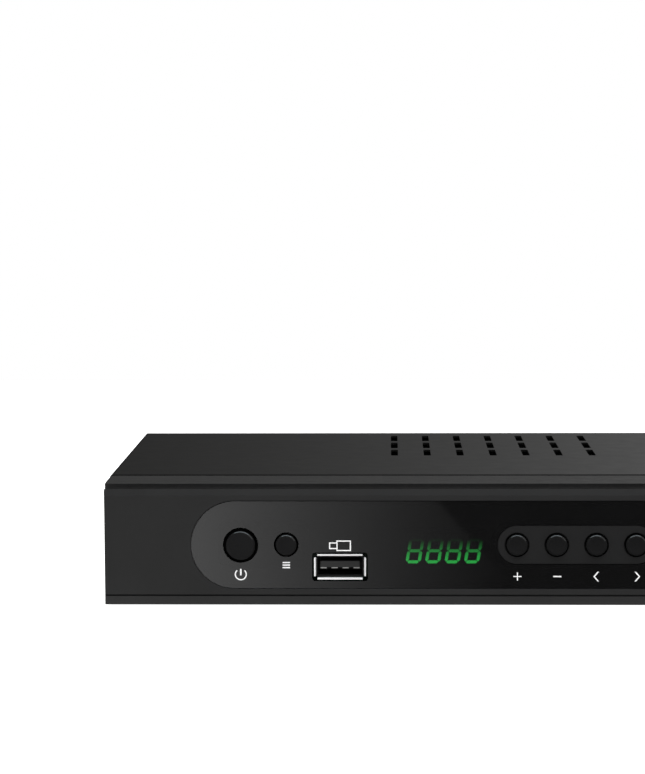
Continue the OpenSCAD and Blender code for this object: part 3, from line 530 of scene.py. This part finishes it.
# How far below the middle of its key or port each mark stands, in mm. The port's is above it.
POWER_DROP, MENU_DROP, DRIVE_DROP, ROW_DROP = 8.3, 5.8, -6.0, 9.0
MENU_BAR_STEP = 0.72
DRIVE_LINE = 0.32
power_mark = [arc_band(1.54, 0.34, -227, 47), bar(0, 0.62, 0.42, 1.84)]
printed("power_icon", power_mark, under("power_button", POWER_DROP), "case")
menu_mark = [bar(0, dz, 2.1, 0.36) for dz in (-MENU_BAR_STEP, 0, MENU_BAR_STEP)]
printed("menu_icon", menu_mark, under("menu_button", MENU_DROP), "case")
drive_mark = closed_frame(1.05, 0, 4.1, 3.0, DRIVE_LINE)
drive_mark.append(open_frame(-2.0, 0, 2.1, 1.9, DRIVE_LINE))
printed("drive_icon", drive_mark, under("usb_shell", DRIVE_DROP), "case")
# The mark over each key of the row, and how far right of the key's middle it stands, in mm.
KEY_ICONS = {
    "plus": ([cross(2.3, 0.29)], 0.15),
    "minus": ([bar(0, 0, 2.3, 0.35)], 0.2),
    "previous": ([chevron(-1, 1.6, 2.75, 0.29)], 0.0),
    "next": ([chevron(1, 1.6, 2.75, 0.29)], 0.39),
}
for key, (outlines, right) in KEY_ICONS.items():
    printed(f"{key}_icon", outlines, under(f"{key}_button", ROW_DROP, right), "case")


# The width of the printed frames' lines, in mm.
FRAME_WIDTH = 0.35


def rear_frame(name, nodes, margin):
    """A thin printed frame on the rear panel round some sockets, margin mm outside them."""
    boxes = [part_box(node) for node in nodes]
    low = [min(box[0][i] for box in boxes) for i in range(3)]
    high = [max(box[1][i] for box in boxes) for i in range(3)]
    centre = Vector(((low[0] + high[0]) / 2, REAR_PANEL_Y, (low[2] + high[2]) / 2))
    w = (high[0] - low[0]) / MM + 2 * margin
    h = (high[2] - low[2]) / MM + 2 * margin
    printed(name, closed_frame(0, 0, w, h, FRAME_WIDTH), centre, "case", facing=1)


rear_frame("aerial_frame", ["aerial_in_socket", "aerial_out_socket"], 1.6)
rear_frame("video_frame", ["hdmi_shell"], 1.8)
analogue = ["video_jack_insert", "left_audio_jack_insert", "right_audio_jack_insert"]
rear_frame("analogue_frame", analogue, 2.6)
rear_frame("coax_frame", ["coax_jack_insert"], 2.6)


# ---- Stage ----

EYE = Vector((-0.0152, FRONT_Y - 0.6436, 0.1288))


def stage_plane(name, low, high, z):
    """A level sheet between two corners, outside the model."""
    mesh = bpy.data.meshes.new(name)
    near = [(low[0], low[1], z), (high[0], low[1], z)]
    far = [(high[0], high[1], z), (low[0], high[1], z)]
    mesh.from_pydata(near + far, [], [(0, 1, 2, 3)])
    piece = bpy.data.objects.new(name, mesh)
    SCENE.collection.objects.link(piece)
    return piece


def maths(tree, operation, *values):
    """A math node on values that are numbers or other nodes' outputs."""
    node = tree.nodes.new("ShaderNodeMath")
    node.operation = operation
    for socket, value in zip(node.inputs, values):
        if isinstance(value, (int, float)):
            socket.default_value = value
        else:
            link(tree, value, socket)
    return node.outputs["Value"]


def ramp(tree, value, low, high, at_low, at_high):
    """A straight ramp between two places, level beyond them."""
    node = tree.nodes.new("ShaderNodeMapRange")
    node.inputs["From Min"].default_value = low
    node.inputs["From Max"].default_value = high
    node.inputs["To Min"].default_value = at_low
    node.inputs["To Max"].default_value = at_high
    link(tree, value, node.inputs["Value"])
    return node.outputs["Result"]


def split_coords(tree, kind):
    """The X, Y and Z outputs of a shader tree's coordinates of one kind."""
    node = tree.nodes.new("ShaderNodeSeparateXYZ")
    link(tree, tree.nodes.new("ShaderNodeTexCoord").outputs[kind], node.inputs["Vector"])
    return node.outputs


def bare_material(name):
    """A material with an empty tree, and the tree."""
    material = bpy.data.materials.new(name)
    material.use_nodes = True
    material.node_tree.nodes.clear()
    return material, material.node_tree


def glow_only(tree):
    """Makes a tree plain emission, and returns the emission node."""
    node = tree.nodes.new("ShaderNodeEmission")
    surface = tree.nodes.new("ShaderNodeOutputMaterial").inputs["Surface"]
    link(tree, node.outputs["Emission"], surface)
    return node


def reflections_only(piece):
    """Leaves a stage piece visible to glossy rays alone."""
    piece.visible_camera = False
    piece.visible_diffuse = False
    piece.visible_shadow = False
    piece.visible_transmission = False


# A pale table that glows as well, so the shadows on it stay faint. The glow is weaker in
# front of the box, and changes over the last 10 mm before its face.
FLOOR_GLOW_FRONT, FLOOR_GLOW_UNDER = 0.6, 1.1
FLOOR_CHANGE_LENGTH = 0.01
floor = stage_plane("floor", (-0.9, -0.7), (0.9, 0.6), -0.00002)
floor_material = bpy.data.materials.new("floor")
floor_material.use_nodes = True
tree = floor_material.node_tree
floor_shader = tree.nodes["Principled BSDF"]
floor_shader.inputs["Base Color"].default_value = (0.3, 0.3, 0.3, 1)
floor_shader.inputs["Roughness"].default_value = 0.8
floor_shader.inputs["Specular IOR Level"].default_value = 0.1
floor_shader.inputs["Emission Color"].default_value = (1, 1, 1, 1)
floor_y = split_coords(tree, "Object")["Y"]
floor_glow = ramp(tree, floor_y, FRONT_Y - FLOOR_CHANGE_LENGTH, FRONT_Y,
                  FLOOR_GLOW_FRONT, FLOOR_GLOW_UNDER)
link(tree, floor_glow, floor_shader.inputs["Emission Strength"])
floor.data.materials.append(floor_material)

# A card on the floor in front, which only reflections see: the window mirrors it. Its tone
# falls off evenly from left to right, and past a slanting edge it is dark. The fall-off is
# set by where a place on the card is mirrored in the front's plane, seen from the eye.
EYE_TO_FRONT = FRONT_Y - EYE.y
FALL_LEFT_X, FALL_RIGHT_X = -0.085, 0.0232
FALL_LEFT, FALL_RIGHT = 1.142, 0.218
FALL_POWER = 2.07
CARD_BRIGHT, CARD_DARK = 1.8, 0.113
EDGE_X, EDGE_SLANT = 0.0254, -0.1118
card = stage_plane("reflection_card", (-0.5, FRONT_Y - 0.6), (0.5, FRONT_Y - 0.004), 0.0008)
reflections_only(card)
card_material, tree = bare_material("reflection_card")
card_at = split_coords(tree, "Object")
ahead = maths(tree, "SUBTRACT", FRONT_Y, card_at["Y"])
aside = maths(tree, "SUBTRACT", card_at["X"], EYE.x)
fan = maths(tree, "DIVIDE", aside, maths(tree, "ADD", ahead, EYE_TO_FRONT))
along = maths(tree, "MULTIPLY_ADD", fan, EYE_TO_FRONT, EYE.x)
even = ramp(tree, along, FALL_LEFT_X, FALL_RIGHT_X, FALL_LEFT, FALL_RIGHT)
fall = maths(tree, "POWER", even, FALL_POWER)
edge_x = maths(tree, "MULTIPLY_ADD", ahead, EDGE_SLANT, EDGE_X)
past = maths(tree, "GREATER_THAN", card_at["X"], edge_x)
blend = tree.nodes.new("ShaderNodeMix")
link(tree, past, blend.inputs["Factor"])
link(tree, maths(tree, "MULTIPLY", fall, CARD_BRIGHT), blend.inputs["A"])
blend.inputs["B"].default_value = CARD_DARK
link(tree, blend.outputs["Result"], glow_only(tree).inputs["Strength"])
card.data.materials.append(card_material)

# The studio: white behind the object, soft light all round, and reflections that are dark
# on the left and paler on the right.
SOFT_LIGHT, BACKDROP = 0.3, 1.0
MIRRORED_LEFT, MIRRORED_RIGHT = 0.2, 1.0
MIRRORED_POWER = 4
MIRRORED_STRENGTH = 0.7
MIRRORED_SIDE = 0.3
world = bpy.data.worlds.new("studio")
SCENE.world = world
world.use_nodes = True
tree = world.node_tree
tree.nodes.clear()
path = tree.nodes.new("ShaderNodeLightPath").outputs
sky_x = split_coords(tree, "Generated")["X"]
level = ramp(tree, sky_x, -MIRRORED_SIDE, MIRRORED_SIDE, MIRRORED_LEFT, MIRRORED_RIGHT)
climb = maths(tree, "POWER", level, MIRRORED_POWER)
strength = tree.nodes.new("ShaderNodeMix")
link(tree, path["Is Glossy Ray"], strength.inputs["Factor"])
strength.inputs["A"].default_value = SOFT_LIGHT
link(tree, maths(tree, "MULTIPLY", climb, MIRRORED_STRENGTH), strength.inputs["B"])
seen = tree.nodes.new("ShaderNodeMix")
link(tree, path["Is Camera Ray"], seen.inputs["Factor"])
link(tree, strength.outputs["Result"], seen.inputs["A"])
seen.inputs["B"].default_value = BACKDROP
sky = tree.nodes.new("ShaderNodeBackground")
sky.inputs["Color"].default_value = (1, 1, 1, 1)
link(tree, seen.outputs["Result"], sky.inputs["Strength"])
link(tree, sky.outputs["Background"], tree.nodes.new("ShaderNodeOutputWorld").inputs["Surface"])


def softbox(name, place, aim, size, power):
    """A square lamp at a place, turned to the point it lights. Returns the lamp."""
    light = bpy.data.lights.new(name, "AREA")
    light.shape = "RECTANGLE"
    light.size = size
    light.size_y = size
    light.energy = power
    lamp = bpy.data.objects.new(name, light)
    SCENE.collection.objects.link(lamp)
    lamp.location = place
    lamp.rotation_euler = (Vector(aim) - Vector(place)).to_track_quat("-Z", "Y").to_euler()
    return lamp


# The only lamp, broad and high, which nothing mirrors.
OVERHEAD_SIZE, OVERHEAD_POWER = 1.6, 50
overhead = softbox("overhead", (0.1, -0.1, 1.3), (0, 0, 0), OVERHEAD_SIZE, OVERHEAD_POWER)
overhead.visible_glossy = False

# A cool strip overhead that only reflections see: it draws the crescents on the keys' rims.
STRIP_COLOUR = (0.8, 0.93, 1)
STRIP_STRENGTH = 4
strip_light = stage_plane("strip_light", (-0.5, FRONT_Y - 0.25), (0.5, FRONT_Y + 0.05), 0.7)
reflections_only(strip_light)
strip_material, tree = bare_material("strip_light")
strip_glow = glow_only(tree)
strip_glow.inputs["Color"].default_value = (*STRIP_COLOUR, 1)
strip_glow.inputs["Strength"].default_value = STRIP_STRENGTH
strip_light.data.materials.append(strip_material)

# The eye is a little left of the middle, 0.64 m in front and 0.13 m up, and looks slightly down.
# The 36 mm sensor fits the picture's longer side.
camera_data = bpy.data.cameras.new("camera")
camera = bpy.data.objects.new("camera", camera_data)
SCENE.collection.objects.link(camera)
SCENE.camera = camera
LENS, SENSOR = 107.9, 36
ROLL_DEGREES = -0.25
camera_data.lens = LENS
camera_data.sensor_width = SENSOR
camera.location = EYE
aim = Vector((-0.0337, FRONT_Y, 0.0637))
roll = Euler((0, 0, math.radians(ROLL_DEGREES))).to_quaternion()
camera.rotation_mode = "QUATERNION"
camera.rotation_quaternion = (aim - EYE).to_track_quat("-Z", "Y") @ roll

SCENE.view_settings.view_transform = "Standard"
SCENE.cycles.use_denoising = True
